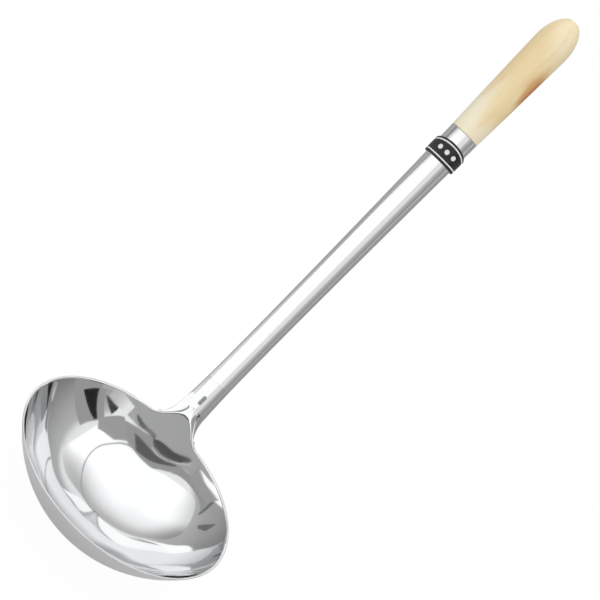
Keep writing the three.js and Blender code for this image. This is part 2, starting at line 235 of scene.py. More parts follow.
def ring_mesh(sections):
    """Points and faces of a ring, from its closed section (radius, station) at each angle."""
    sides, many = sections.shape[:2]
    angle = np.linspace(0, 2 * math.pi, sides, endpoint=False)[:, None]
    radius, station = sections[..., 0], sections[..., 1]
    points = np.stack([radius * np.cos(angle), radius * np.sin(angle), station], axis=2)
    faces = []
    for i in range(sides):
        here, there = i * many, (i + 1) % sides * many
        for k in range(many):
            n = (k + 1) % many
            faces.append((here + k, there + k, there + n, here + n))
    return points.reshape(-1, 3), faces


def turned_mesh(profile):
    """Points and faces of a solid turned from (radius, station) pairs, from axis to axis."""
    inner = np.array(profile[1:-1])
    points, faces = ring_mesh(np.broadcast_to(inner, (TURNED_SIDES, *inner.shape)))
    many = len(inner)
    faces = [f for f in faces if abs(f[0] % many - f[3] % many) == 1]
    low, high = len(points), len(points) + 1
    points = np.vstack([points, [0, 0, profile[0][1]], [0, 0, profile[-1][1]]])
    for i in range(TURNED_SIDES):
        here, there = i * many, (i + 1) % TURNED_SIDES * many
        faces.append((low, there, here))
        faces.append((high, here + many - 1, there + many - 1))
    return points, faces


# The neck's ear, by the same rules as its solid

def soft_min(a, b):
    """The lesser of two heights, with a round crest where they cross."""
    share = np.clip(0.5 + (b - a) / (2 * CREST_ROUNDING), 0, 1)
    return b + (a - b) * share - CREST_ROUNDING * share * (1 - share)


def ear_points(side, station):
    """Points of the ear's face: side runs from -1 to 1 across it, station up from the rim."""
    closed = math.pi - NECK_SEAM / NECK_DIAMETER
    turn = np.abs(side) * lerp(math.pi / 2, closed, smooth(station / NECK_CLOSE))
    spread = np.maximum(0, 1 - station / ROOT_FILLET_HEIGHT)
    half_width = shaft_radius(station) + ROOT_FILLET_WIDTH * (1 - np.sqrt(1 - spread ** 2))
    above_lip = smooth(station / ROOT_FOOT)
    reach = lerp(np.abs(side), np.sin(turn), above_lip)
    across = half_width * reach
    power = lerp(ROOT_FLATNESS, 2, smooth(station / ROOT_FILLET_HEIGHT))
    fall = np.maximum(0, 1 - reach ** power) ** (1 / power)
    swept = lerp(1, np.sign(np.cos(turn)) * fall, smooth(station / ROOT_SWEEP))
    rolled = shaft_radius(station) * swept
    sag = inner_rim - np.sqrt(inner_rim ** 2 - across ** 2)
    drop = sag * math.cos(SHAFT_ANGLE) * (1 - smooth(station / DISH_FADE))
    dish = dish_height(station - drop, across) - axis_lift
    height = lerp(dish, soft_min(rolled, dish), above_lip)
    points = axis_start + (station - drop)[..., None] * along + height[..., None] * front
    points[..., 1] += np.sign(side) * across
    return points


def unit(vectors):
    """Vectors with a length of one."""
    return vectors / np.linalg.norm(vectors, axis=-1, keepdims=True)


def ear_normals(side, station):
    """Directions square to the ear's face."""
    step = 0.01
    up = ear_points(side, station + step) - ear_points(side, np.maximum(0, station - step))
    across = ear_points(side + step, station) - ear_points(side - step, station)
    return unit(np.cross(up, across))


def dish_rings(sphere, azimuths):
    """Rings of a sphere from next to its bottom up to the rim plane, and its bottom point."""
    share = np.linspace(0, 1 - EDGE_MARGIN, DISH_RINGS)[1:, None]
    share = np.vstack([share, [[1.0]]])
    polar = math.acos(sphere_height / sphere) * share
    radius = sphere * np.sin(polar)
    height = sphere_height - sphere * np.cos(polar) + 0 * azimuths
    rings = np.stack([radius * np.cos(azimuths), radius * np.sin(azimuths), height], axis=2)
    return np.vstack([[[0, 0, sphere_height - sphere]], rings.reshape(-1, 3)])


def ear_index(around, row, column):
    """Number of a point of the ear, whose lowest row is part of the dish's rim."""
    rim_start = 1 + (DISH_RINGS - 1) * around
    if row == 0:
        return rim_start + column
    return rim_start + around + (row - 1) * (EAR_COLUMNS + 1) + column


def bowl_sheet():
    """Points of the sheet's face and back, the face's normals, and the turn of each column."""
    across = np.linspace(-1, 1, EAR_COLUMNS - 1) * (1 - EDGE_MARGIN)
    upwards = np.linspace(0, 1 - EDGE_MARGIN, EAR_ROWS) ** EAR_ROW_POWER
    sides, rows = np.meshgrid(np.concatenate([[-1], across, [1]]), np.append(upwards, 1))
    stations = NECK_LENGTH * rows
    ear, ear_normal = ear_points(sides, stations), ear_normals(sides, stations)
    root = np.arcsin(ear[0, :, 1] / inner_rim)
    rest = np.linspace(root[-1], 2 * math.pi - root[-1], DISH_SIDES + 1)[1:-1]
    azimuths = np.concatenate([root, rest])

    face = dish_rings(inner_sphere, azimuths)
    back = dish_rings(outer_sphere - TRIM, azimuths)
    normals = unit(np.array([0, 0, sphere_height]) - face)
    rim_start = ear_index(len(azimuths), 0, 0)
    lip = (back - face)[rim_start:rim_start + len(root)]
    offset = lerp(lip, -SHEET * ear_normal, smooth(stations / LIP_TURN)[..., None])
    face = np.vstack([face, ear[1:].reshape(-1, 3)])
    back = np.vstack([back, (ear + offset)[1:].reshape(-1, 3)])
    normals = np.vstack([normals, ear_normal[1:].reshape(-1, 3)])
    return face, back, normals, azimuths


def sheet_faces(around):
    """Faces of one side of the sheet: the dish's bottom and rings, then the ear."""
    faces = []
    for k in range(around):
        n = (k + 1) % around
        faces.append((0, 1 + k, 1 + n))
        for ring in range(DISH_RINGS - 1):
            low = 1 + ring * around
            faces.append((low + k, low + around + k, low + around + n, low + n))
    for row in range(EAR_ROWS):
        for c in range(EAR_COLUMNS):
            corners = [(row, c), (row + 1, c), (row + 1, c + 1), (row, c + 1)]
            faces.append(tuple(ear_index(around, *corner) for corner in corners))
    return faces


def free_edge(around):
    """Points along the sheet's edge: round the rim, up the ear, across its top and down."""
    loop = [ear_index(around, 0, k) for k in range(EAR_COLUMNS, around)]
    loop += [ear_index(around, row, 0) for row in range(EAR_ROWS + 1)]
    loop += [ear_index(around, EAR_ROWS, c) for c in range(1, EAR_COLUMNS + 1)]
    loop += [ear_index(around, row, EAR_COLUMNS) for row in range(EAR_ROWS - 1, 0, -1)]
    return np.array(loop)


def edge_crown(azimuths, count):
    """How far the edge stands out at each of its points: more on the rim than on the ear."""
    rim_turn = azimuths[EAR_COLUMNS:]
    from_ear = math.pi - np.abs(math.pi - rim_turn) - rim_turn[0]
    crown = np.full((count, 1), EDGE_CROWN)
    crown[:len(from_ear), 0] = lerp(EDGE_CROWN, RIM_CROWN, smooth(from_ear / RIM_BLEND))
    return crown


def bowl_mesh():
    """Bowl and neck as one sheet with rounded edges."""
    face, back, normals, azimuths = bowl_sheet()
    count = len(face)
    loop = free_edge(len(azimuths))
    line = face[loop]
    run = np.roll(line, -1, axis=0) - np.roll(line, 1, axis=0)
    outward = unit(np.cross(run, normals[loop]))
    middle, half = (line + back[loop]) / 2, (line - back[loop]) / 2
    crown = edge_crown(azimuths, len(loop))
    points, strips = [face, back], [loop]
    for step in range(1, EDGE_STEPS):
        turn = math.pi * step / EDGE_STEPS
        points.append(middle + math.cos(turn) * half + crown * math.sin(turn) * outward)
        strips.append(2 * count + (step - 1) * len(loop) + np.arange(len(loop)))
    strips.append(loop + count)

    faces = sheet_faces(len(azimuths))
    faces += [tuple(count + i for i in reversed(corners)) for corners in faces]
    for a, b in zip(strips, strips[1:]):
        a_next, b_next = np.roll(a, -1), np.roll(b, -1)
        faces += [tuple(map(int, corners)) for corners in zip(a, b, b_next, a_next)]
    return np.vstack(points), faces


def tube_mesh():
    """The handle's tapered tube, with its narrower spigot below."""
    foot = NECK_LENGTH - TUBE_LAP
    spigot = shaft_radius(NECK_LENGTH) - SHEET - FIT
    bore = spigot - TUBE_WALL
    spigot_foot = NECK_LENGTH - SPIGOT_LENGTH
    stations = np.linspace(foot, TUBE_END_STATION, TUBE_STEPS)
    inside = np.maximum(stations[::-1], foot + SPIGOT_STEP)
    profile = [(bore, spigot_foot), (spigot, spigot_foot), (spigot, foot)]
    profile += list(zip(shaft_radius(stations), stations))
    profile += list(zip(shaft_radius(inside) - TUBE_WALL, inside))[:-1]
    profile += [(bore, foot)]
    section = np.array([profile])
    return ring_mesh(np.repeat(section, TURNED_SIDES, axis=0))


def collar_rise():
    """Height of the collar's slanted top above its foot, for each angle from the underside."""
    angle = np.linspace(0, 2 * math.pi, TURNED_SIDES, endpoint=False)
    middle = (COLLAR_FRONT_HEIGHT + COLLAR_BACK_HEIGHT) / 2
    slant = (COLLAR_FRONT_HEIGHT - COLLAR_BACK_HEIGHT) / 2
    return middle - slant * np.cos(angle)


collar_outside = FIT + COLLAR_WALL


def on_tube(corners, rounding):
    """A ring on the tube from corners of (lift off the tube, rise above the collar's foot)."""
    section = []
    for lift, rise in corners:
        station = COLLAR_STATION + rise + np.zeros(TURNED_SIDES)
        section.append(np.stack([shaft_radius(station) + lift, station], axis=1))
    return ring_mesh(rounded(np.stack(section, axis=1), rounding))


def groove(middle):
    """Corners of the collar's groove for a line."""
    low, high = middle - (LINE_WIDTH + LINE_FIT) / 2, middle + (LINE_WIDTH + LINE_FIT) / 2
    floor = collar_outside - LINE_THICKNESS
    return [(collar_outside, low), (floor, low), (floor, high), (collar_outside, high)]


def collar_mesh():
    """The black collar, cut square below and slanted above."""
    top = collar_rise()
    corners = [(0, 0), (collar_outside, 0)]
    corners += groove(LOWER_LINE_RISE) + groove(top - UPPER_LINE_DROP)
    corners += [(collar_outside, top), (0, top)]
    return on_tube(corners, COLLAR_ROUNDING)


def line_mesh(middle):
    """A line that lies in its groove, flush with the collar."""
    low, high = middle - LINE_WIDTH / 2, middle + LINE_WIDTH / 2
    floor = collar_outside - LINE_THICKNESS
    corners = [(floor, low), (collar_outside, low), (collar_outside, high), (floor, high)]
    return on_tube(corners, LINE_ROUNDING)


def grip_mesh():
    """The turned grip: a tenon, a taper that swells towards the butt, and a dome."""
    shoulder = TUBE_END_STATION + FIT / 2
    tenon_foot = TUBE_END_STATION - TENON_LENGTH
    tenon = shaft_radius(np.array([tenon_foot, TUBE_END_STATION])) - TUBE_WALL - FIT
    swell = GRIP_DIAMETER / 2 - TRIM
    start = TUBE_END_DIAMETER / 2
    taper_length = GRIP_LENGTH - FIT / 2 - GRIP_DOME
    profile = [
        (0, tenon_foot),
        (tenon[0] - TENON_CHAMFER, tenon_foot),
        (tenon[0], tenon_foot + TENON_CHAMFER),
        (tenon[1], TUBE_END_STATION),
        (tenon[1], shoulder),
        (start - GRIP_EDGE, shoulder),
        (start - GRIP_EDGE_CUT, shoulder + GRIP_EDGE_CUT),
    ]
    for share in np.linspace(0, 1, GRIP_STEPS) ** GRIP_STEP_POWER:
        height = lerp(GRIP_EDGE, taper_length, share)
        taper = (height / taper_length) ** GRIP_SWELL
        profile.append((lerp(start, swell, taper), shoulder + height))
    dome_end = math.acos(BUTT_FLAT / GRIP_DIAMETER)
    for angle in np.linspace(0, dome_end, GRIP_STEPS)[1:]:
        height = GRIP_DOME * math.sin(angle) / math.sin(dome_end)
        profile.append((swell * math.cos(angle), shoulder + taper_length + height))
    profile.append((0, TUBE_END_STATION + GRIP_LENGTH))
    return turned_mesh(profile)


nail_station = TUBE_END_STATION - NAIL_FROM_END
nail_tip = float(shaft_radius(nail_station)) + FIT / 2 - NAIL_DEPTH
nail_place = (shaft_place @ Matrix.Translation(Vector((nail_tip, 0, nail_station)))
              @ Matrix.Rotation(math.pi / 2, 4, "Y"))


def nail_mesh():
    """A nail with its point at the origin and a domed head."""
    shank, head = NAIL_DIAMETER / 2, NAIL_HEAD_DIAMETER / 2
    profile = [
        (0, 0),
        (shank, NAIL_POINT),
        (shank, NAIL_DEPTH),
        (head - NAIL_HEAD_ROUNDING, NAIL_DEPTH),
        (head, NAIL_DEPTH + NAIL_HEAD_ROUNDING),
    ]
    crown = NAIL_HEAD_HEIGHT - NAIL_HEAD_EDGE
    for angle in np.linspace(0, math.pi / 2, NAIL_HEAD_STEPS, endpoint=False):
        height = NAIL_DEPTH + NAIL_HEAD_EDGE + crown * math.sin(angle)
        profile.append((head * math.cos(angle), height))
    profile.append((0, NAIL_DEPTH + NAIL_HEAD_HEIGHT))
    return turned_mesh(profile)


def weld_mesh():
    """A low oval bead that follows the neck's round front."""
    angle = np.linspace(0, 2 * math.pi, WELD_SIDES, endpoint=False)
    reach = (WELD_LENGTH - WELD_WIDTH) / 2
    outline = np.stack([np.sin(angle) * WELD_WIDTH / 2,
                        np.cos(angle) * WELD_WIDTH / 2 + np.sign(np.cos(angle)) * reach], axis=1)

    def lay(flat, lift):
        station = NECK_LENGTH - WELD_FROM_NECK_END + flat[:, 1]
        radius = shaft_radius(station) + lift
        return np.stack([-np.sqrt(radius ** 2 - flat[:, 0] ** 2), flat[:, 0], station], axis=1)

    points = [lay(np.zeros((1, 2)), WELD_CROWN)]
    for share in np.arange(1, WELD_RINGS + 1) / WELD_RINGS:
        lift = WELD_CROWN * (1 - share ** WELD_FLATNESS) - WELD_SINK * share
        points.append(lay(outline * share, lift))
    points.append(lay(outline, -WELD_ROOT))
    points.append(lay(np.zeros((1, 2)), -WELD_ROOT))
    points = np.vstack(points)
    last = len(points) - 1
    faces = []
    for k in range(WELD_SIDES):
        n = (k + 1) % WELD_SIDES
        faces.append((0, 1 + n, 1 + k))
        for ring in range(WELD_RINGS):
            low = 1 + ring * WELD_SIDES
            faces.append((low + k, low + n, low + WELD_SIDES + n, low + WELD_SIDES + k))
        low = 1 + WELD_RINGS * WELD_SIDES
        faces.append((last, low + k, low + n))
    return points, faces


# Materials: tones run between two colours, gloss between two roughnesses, and lengths are in metres

BOWL_TONES = ((0.80, 0.805, 0.81, 1), (0.755, 0.76, 0.77, 1))
TUBE_TONES = ((0.81, 0.81, 0.815, 1), (0.77, 0.775, 0.785, 1))
WELD_TONES = ((0.34, 0.34, 0.35, 1), (0.5, 0.5, 0.5, 1))
NAIL_TONES = ((0.55, 0.55, 0.56, 1), (0.68, 0.68, 0.69, 1))
COLLAR_TONES = ((0.006, 0.006, 0.0065, 1), (0.016, 0.016, 0.017, 1))
DOT_TONES = ((0.84, 0.84, 0.82, 1), (0.7, 0.7, 0.68, 1))
LINE_TONES = ((0.88, 0.88, 0.86, 1), (0.66, 0.66, 0.64, 1))
BOWL_GLOSS = (0.045, 0.075)
TUBE_GLOSS = (0.06, 0.11)
WELD_GLOSS = (0.3, 0.45)
NAIL_GLOSS = (0.2, 0.34)
COLLAR_GLOSS = (0.28, 0.42)
LINE_GLOSS = (0.3, 0.45)
BOWL_WAVES = 0.0014
TUBE_WAVES = 0.000008
POLISH_DEPTH = 0.0000004
WELD_RELIEF = 0.00003
FINE_RELIEF = 0.00001
CLOUD_RANGE = (0.35, 0.65)      # the values of a noise between which a finish changes
GRAIN_RANGE = (0.3, 0.7)
COLLAR_RANGE = (0.35, 0.7)
LINE_RANGE = (0.4, 0.75)
MARKS_ACROSS = 900.0            # polishing marks of the bowl, per metre
MARKS_ALONG = 2.5               # their breaks, per radian

WOOD_CREAM = "#F3EACE"          # by the tube
WOOD_TAN = "#ECD5A4"            # along the middle
WOOD_PALE = "#EFDFB8"           # at the butt
WOOD_RINGS = ("#DDBE86", 0.22, 0.45, 0.75)      # colour, strength and range of the noise
WOOD_FIBRE = ("#C9A76C", 0.25, 0.52, 0.8)
WOOD_TAN_STATIONS = (0.205, 0.226)
WOOD_PALE_STATIONS = (0.246, 0.266)
WOOD_WANDER = 0.045             # how far those colours stray along the grip
WOOD_SLANT = 0.007
WOOD_GLOSS = (0.42, 0.55)
WOOD_RELIEF = 0.00002
WOOD_SEAL = {"Coat Weight": 0.12, "Coat Roughness": 0.3}
# Streaks on one side of the grip: middle and reach as (turn, station in metres), raggedness,
# where each starts and stops fading, strength and colour
WOOD_STREAKS = [
    ((0.98, 0.2355), (0.62, 0.0145), 1.6, 0.25, 1.1, 0.85, "#CF9A58"),
    ((1.27, 0.2360), (0.36, 0.0130), 1.6, 0.20, 1.0, 0.80, "#C4703A"),
    ((1.36, 0.2260), (0.14, 0.0180), 0.8, 0.30, 1.0, 0.70, "#B98252"),
]


def feed(tree, socket, value):
    """Sets a socket's plain value, or links it to another node's output."""
    if isinstance(value, bpy.types.NodeSocket):
        tree.links.new(value, socket)
    else:
        socket.default_value = value


def dress(tree, node, values):
    """Feeds a node's inputs by name."""
    for name, value in values.items():
        feed(tree, node.inputs[name], value)


def shader(name):
    """A new material, its node tree and its Principled shader."""
    material = bpy.data.materials.new(name)
    material.use_nodes = True
    return material, material.node_tree, material.node_tree.nodes["Principled BSDF"]


def add(tree, kind, values=None, **settings):
    """A new node, with values for its inputs and settings for its properties."""
    node = tree.nodes.new("ShaderNode" + kind)
    for key, value in settings.items():
        setattr(node, key, value)
    dress(tree, node, values or {})
    return node


def wire(tree, operation, *values):
    """The output of a Math node, whose values are numbers or other nodes' outputs."""
    node = add(tree, "Math", operation=operation)
    for socket, value in zip(node.inputs, values):
        feed(tree, socket, value)
    return node.outputs[0]


def length(tree, a, b):
    """Length of a pair of values."""
    squares = wire(tree, "ADD", wire(tree, "POWER", a, 2.0), wire(tree, "POWER", b, 2.0))
    return wire(tree, "SQRT", squares)


def span(tree, value, low, high, start=0.0, end=1.0, kind="SMOOTHSTEP"):
    """A value's run from low to high, turned into a run from start to end."""
    values = {"Value": value, "From Min": low, "From Max": high, "To Min": start, "To Max": end}
    return add(tree, "MapRange", values, interpolation_type=kind).outputs["Result"]


def blend(tree, share, first, second):
    """A share of the way from one colour, plain or another node's output, to a second one."""
    node = add(tree, "Mix", {"Factor": share}, data_type="RGBA")
    # The Mix node has sockets of the same name for each data type, so its colours go by number
    feed(tree, node.inputs[6], first)
    feed(tree, node.inputs[7], second)
    return node.outputs[2]


def bump(tree, height, depth, normal=None):
    """A normal that follows a relief, on top of another one if given."""
    values = {"Height": height, "Strength": 1.0, "Distance": depth}
    if normal:
        values["Normal"] = normal
    return add(tree, "Bump", values).outputs["Normal"]


def coordinates(tree, start, lean=0.0, stretch=1.0):
    """Coordinates in metres from a start point, with a stretched z that leans towards +X."""
    values = {"Vector": add(tree, "TexCoord").outputs["Object"], "Location": start,
              "Rotation": (0, lean, 0)}
    local = add(tree, "Mapping", values, vector_type="TEXTURE").outputs["Vector"]
    return add(tree, "Mapping", {"Vector": local, "Scale": (1, 1, stretch)}).outputs["Vector"]


def axes_of(tree, vector):
    """The X, Y and Z outputs of a vector."""
    return add(tree, "SeparateXYZ", {"Vector": vector}).outputs


def noise(tree, vector, scale, detail, distortion=0.0):
    """A cloudy value about 0.5."""
    values = {"Vector": vector, "Scale": scale, "Detail": detail, "Distortion": distortion}
    return add(tree, "TexNoise", values).outputs[0]


def on_shaft(tree, stretch=1.0):
    """Coordinates along the shaft."""
    return coordinates(tree, shaft_start * MM, shaft_lean, stretch)


def shaft_axes(tree):
    """Turn round the shaft from its front towards -Y, and station along it, in metres."""
    axes = axes_of(tree, on_shaft(tree))
    aside = wire(tree, "MULTIPLY", axes["Y"], -1.0)
    forward = wire(tree, "MULTIPLY", axes["X"], -1.0)
    return wire(tree, "ARCTAN2", aside, forward), axes["Z"]


def tint(code):
    """Linear colour from a web colour code."""
    parts = [int(code[i:i + 2], 16) / 255 for i in (1, 3, 5)]
    return (*[p / 12.92 if p <= 0.04045 else ((p + 0.055) / 1.055) ** 2.4 for p in parts], 1)


def finish_steel(tree, principled, tones, gloss, marks, waves, wave_depth):
    """Metal with fine polishing marks and the slight unevenness of worked sheet."""
    cloud = noise(tree, waves, scale=18.0, detail=3.0)
    uneven = bump(tree, noise(tree, waves, scale=30.0, detail=1.0), wave_depth)
    dress(tree, principled, {
        "Base Color": blend(tree, span(tree, cloud, *CLOUD_RANGE), *tones),
        "Roughness": span(tree, marks, *GRAIN_RANGE, *gloss),
        "Normal": bump(tree, marks, POLISH_DEPTH, uneven),
        "Metallic": 1,
    })


def finish_grainy(tree, principled, colour, grain, gloss, depth, metallic=0):
    """A colour, with a gloss and a fine relief that follow a grain."""
    dress(tree, principled, {
        "Base Color": colour,
        "Roughness": span(tree, grain, *GRAIN_RANGE, *gloss),
        "Normal": bump(tree, grain, depth),
        "Metallic": metallic,
    })


def round_marks(tree):
    """Marks that run round the bowl, left by polishing it on a wheel."""
    axes = axes_of(tree, coordinates(tree, rim_centre * MM))
    radius = length(tree, axes["X"], axes["Y"])
    angle = wire(tree, "ARCTAN2", axes["Y"], axes["X"])
    values = {
        "X": wire(tree, "MULTIPLY", radius, MARKS_ACROSS),
        "Y": wire(tree, "MULTIPLY", angle, MARKS_ALONG),
        "Z": wire(tree, "MULTIPLY", axes["Z"], MARKS_ACROSS),
    }
    vector = add(tree, "CombineXYZ", values).outputs["Vector"]
    return noise(tree, vector, scale=1.0, detail=3.0)


def make_bowl_steel():
    """Mirror-polished sheet."""
    material, tree, principled = shader("polished_steel")
    marks = round_marks(tree)
    waves = coordinates(tree, rim_centre * MM)
    finish_steel(tree, principled, BOWL_TONES, BOWL_GLOSS, marks, waves, BOWL_WAVES)
    return material


def make_tube_steel():
    """Polished tube with faint lengthwise lines."""
    material, tree, principled = shader("tube_steel")
    lines = noise(tree, on_shaft(tree, stretch=0.012), scale=1100.0, detail=3.0)
    waves = on_shaft(tree, stretch=0.25)
    finish_steel(tree, principled, TUBE_TONES, TUBE_GLOSS, lines, waves, TUBE_WAVES)
    return material


def make_weld_metal():
    """Dull weld metal, ground almost flush."""
    material, tree, principled = shader("weld_metal")
    grain = noise(tree, on_shaft(tree), scale=900.0, detail=4.0)
    colour = blend(tree, span(tree, grain, *GRAIN_RANGE), *WELD_TONES)
    finish_grainy(tree, principled, colour, grain, WELD_GLOSS, WELD_RELIEF, metallic=1)
    return material


def make_nail_steel():
    """Bright drawn wire."""
    material, tree, principled = shader("nail_steel")
    grain = noise(tree, on_shaft(tree), scale=1500.0, detail=3.0)
    colour = blend(tree, grain, *NAIL_TONES)
    finish_grainy(tree, principled, colour, grain, NAIL_GLOSS, FINE_RELIEF, metallic=1)
    return material


def printed_dots(tree):
    """1 in three plain dots on the collar's front, and 0 beside them."""
    turn, station = shaft_axes(tree)
    around = wire(tree, "MULTIPLY", turn, TUBE_END_DIAMETER / 2 + collar_outside)
    nearest = wire(tree, "ROUND", wire(tree, "DIVIDE", around, DOT_PITCH))
    nearest = wire(tree, "MAXIMUM", wire(tree, "MINIMUM", nearest, 1.0), -1.0)
    beside = wire(tree, "SUBTRACT", around, wire(tree, "MULTIPLY", nearest, DOT_PITCH))
    above = wire(tree, "SUBTRACT", wire(tree, "DIVIDE", station, MM), COLLAR_STATION + DOT_RISE)
    away = length(tree, beside, above)
    return span(tree, away, DOT_RADIUS - DOT_EDGE, DOT_RADIUS + DOT_EDGE, 1.0, 0.0)


def make_collar_black():
    """Semi-gloss black moulding with a plain print."""
    material, tree, principled = shader("collar_black")
    grain = noise(tree, on_shaft(tree), scale=700.0, detail=4.0)
    black = blend(tree, span(tree, grain, *COLLAR_RANGE), *COLLAR_TONES)
    colour = blend(tree, printed_dots(tree), black, blend(tree, grain, *DOT_TONES))
    finish_grainy(tree, principled, colour, grain, COLLAR_GLOSS, FINE_RELIEF)
    return material


def make_line_white():
    """Semi-gloss white inlay."""
    material, tree, principled = shader("line_white")
    grain = noise(tree, on_shaft(tree), scale=600.0, detail=4.0)
    colour = blend(tree, span(tree, grain, *LINE_RANGE), *LINE_TONES)
    finish_grainy(tree, principled, colour, grain, LINE_GLOSS, FINE_RELIEF)
    return material


def grain_lines(tree, colour, pattern, code, strength, low, high):
    """A colour with darker lines where a pattern is high."""
    share = wire(tree, "MULTIPLY", span(tree, pattern, low, high), strength)
    return blend(tree, share, colour, tint(code))


def streak(tree, colour, spots, drift, middle, reach, raggedness, start, stop, strength, code):
    """A colour with a ragged oval streak on it."""
    offsets = [wire(tree, "DIVIDE", wire(tree, "SUBTRACT", spot, centre), size)
               for spot, centre, size in zip(spots, middle, reach)]
    away = wire(tree, "ADD", length(tree, *offsets), wire(tree, "MULTIPLY", drift, raggedness))
    return blend(tree, span(tree, away, start, stop, strength, 0.0), colour, tint(code))


def make_pale_wood():
    """Turned pale wood: cream by the tube, tan along the middle and paler again at the butt."""
    material, tree, principled = shader("pale_wood")
    turn, station = shaft_axes(tree)
    cloud = noise(tree, on_shaft(tree, stretch=0.3), scale=120.0, detail=3.0)
    drift = wire(tree, "SUBTRACT", cloud, 0.5)
    fibre = noise(tree, on_shaft(tree, stretch=0.035), scale=950.0, detail=4.0, distortion=0.4)
    rings = noise(tree, on_shaft(tree, stretch=0.05), scale=240.0, detail=2.0, distortion=0.6)
    wander = wire(tree, "MULTIPLY", drift, WOOD_WANDER)
    slant = wire(tree, "MULTIPLY", wire(tree, "SINE", turn), WOOD_SLANT)
    shifted = wire(tree, "ADD", wire(tree, "ADD", station, wander), slant)
    tan = span(tree, shifted, *WOOD_TAN_STATIONS)
    pale = span(tree, shifted, *WOOD_PALE_STATIONS)
    colour = blend(tree, tan, tint(WOOD_CREAM), tint(WOOD_TAN))
    colour = blend(tree, pale, colour, tint(WOOD_PALE))
    colour = grain_lines(tree, colour, rings, *WOOD_RINGS)
    colour = grain_lines(tree, colour, fibre, *WOOD_FIBRE)
    for details in WOOD_STREAKS:
        colour = streak(tree, colour, (turn, station), drift, *details)
    finish_grainy(tree, principled, colour, fibre, WOOD_GLOSS, WOOD_RELIEF)
    dress(tree, principled, WOOD_SEAL)
    return material


line_white = make_line_white()
make_piece("bowl_and_neck", *bowl_mesh(), bowl_place, make_bowl_steel(),
           ["bowl"], "polished_steel")
make_piece("tube", *tube_mesh(), shaft_place, make_tube_steel(),
           ["handle_tube"], "tube_steel")
make_piece("plug_weld", *weld_mesh(), shaft_place, make_weld_metal(),
           ["neck_plug_weld"], "weld_metal")
make_piece("collar", *collar_mesh(), shaft_place, make_collar_black(),
           ["size_collar"], "collar_black")
make_piece("lower_line", *line_mesh(LOWER_LINE_RISE), shaft_place, line_white,
           ["collar_line_lower"], "line_white")
make_piece("upper_line", *line_mesh(collar_rise() - UPPER_LINE_DROP), shaft_place, line_white,
           ["collar_line_upper"], "line_white")
make_piece("wood_grip", *grip_mesh(), shaft_place, make_pale_wood(),
           ["grip"], "pale_wood")
make_piece("nail", *nail_mesh(), nail_place, make_nail_steel(),
           ["grip_nail"], "nail_steel")


# Camera

towards = Vector((-math.cos(CAMERA_ELEVATION) * math.cos(CAMERA_SWING),
                  math.cos(CAMERA_ELEVATION) * math.sin(CAMERA_SWING),
                  math.sin(CAMERA_ELEVATION)))


def place_camera():
    """A long lens that looks at the target from far away, rolled so that the shaft slants."""
    level = Vector((0, 0, 1)).cross(towards).normalized()
    upward = towards.cross(level)
    right = math.cos(CAMERA_ROLL) * level + math.sin(CAMERA_ROLL) * upward
    top = -math.sin(CAMERA_ROLL) * level + math.cos(CAMERA_ROLL) * upward
    data = bpy.data.cameras.new("camera")
    data.lens = CAMERA_LENS
    data.clip_end = 3 * CAMERA_DISTANCE * MM
    camera = bpy.data.objects.new("camera", data)
    bpy.context.scene.collection.objects.link(camera)
    turn = Matrix((right, top, towards)).transposed().to_4x4()
    stand = (Vector(CAMERA_TARGET) + CAMERA_DISTANCE * towards) * MM
    camera.matrix_world = Matrix.Translation(stand) @ turn
    bpy.context.scene.camera = camera


place_camera()


# Studio, in metres: a pale floor, soft lamps, and cards that show only in reflections

FLOOR_RADIUS = 6.0
FLOOR_SIDES = 64
FLOOR_DROP = 0.0003
FLOOR_GREY = 0.68
FLOOR_GLOW = 1.04
FLOOR_WHITE = 0.92              # share of plain white that the camera sees in the floor
FLOOR_MIRRORED = 0.20           # the same for what the steel mirrors
AMBIENT = 0.78                  # light of the surroundings on pieces that don't mirror
CARD_LEVEL = 1.1                # makes up for what the steel takes from the cards' light
CARD_STEPS = 25
CARD_LIFT = 0.001               # of cards that lie on the floor
SOFTBOX_LOW = (-0.48, -0.98)    # corners of the lamp overhead, from the bowl's middle
SOFTBOX_HIGH = (1.01, 1.55)
SOFTBOX_HEIGHT = 1.084
SOFTBOX_SQUARENESS = 5.0
SOFTBOX_POINTS = 120
SOFTBOX_WHITE = 1.17            # just white in the steel, so that it is dimmer when mirrored twice
FRAME_MIDDLE = 0.2              # arc of the lamp's inner frame, from the bowl's middle
FRAME_INNER = (0.77, 0.53)
FRAME_OUTER = (0.80, 0.55)
FRAME_TURN = (4, 150)
FRAME_STEPS = 60
FRAME_DROP = 0.02
FRAME_TONE = 0.35
# Shades of the uneven cards: two places and a value at each, which the tones below combine
STRIP_MIDDLE = (-0.42, -0.15, 0.89, 1.18)
STRIP_END = (-1.25, -0.86, 0.6, 1.0)
WALL_LOW = (0.0, 2.8, 0.20, 0.48)
WALL_HIGH = (2.75, 3.4, 0.0, 0.40)
SOFTBOX_LENGTH = (0.05, 0.80, 1.25, 0.52)
SOFTBOX_RIGHT = (-0.95, -0.35, 1.5, 1.0)
SOFTBOX_LEFT = (0.6, 1.5, 1.0, 0.6)
# The next three values paint the ladle's shadow on the floor card that the steel mirrors
FLOOR_ASIDE = (0.5, 4.0, 0.44, 1.05)    # by the slope of the line from the frame's origin
FLOOR_UNDER = (0.06, 0.32, 1.0, 0.48)
FLOOR_DULLEST = 0.40
# Lamps: name, place, aim, size and power
LAMPS = [
    ("overhead", (0.0, 0.35, 1.5), (0.0, 0.0, 0.1), 1.4, 5.0),
    ("fill", (-1.4, -0.7, 0.9), (0.05, 0.0, 0.15), 1.0, 3.0),
]

bowl_spot = np.array(rim_centre) * MM
neck_spot = np.array(shaft_start) * MM


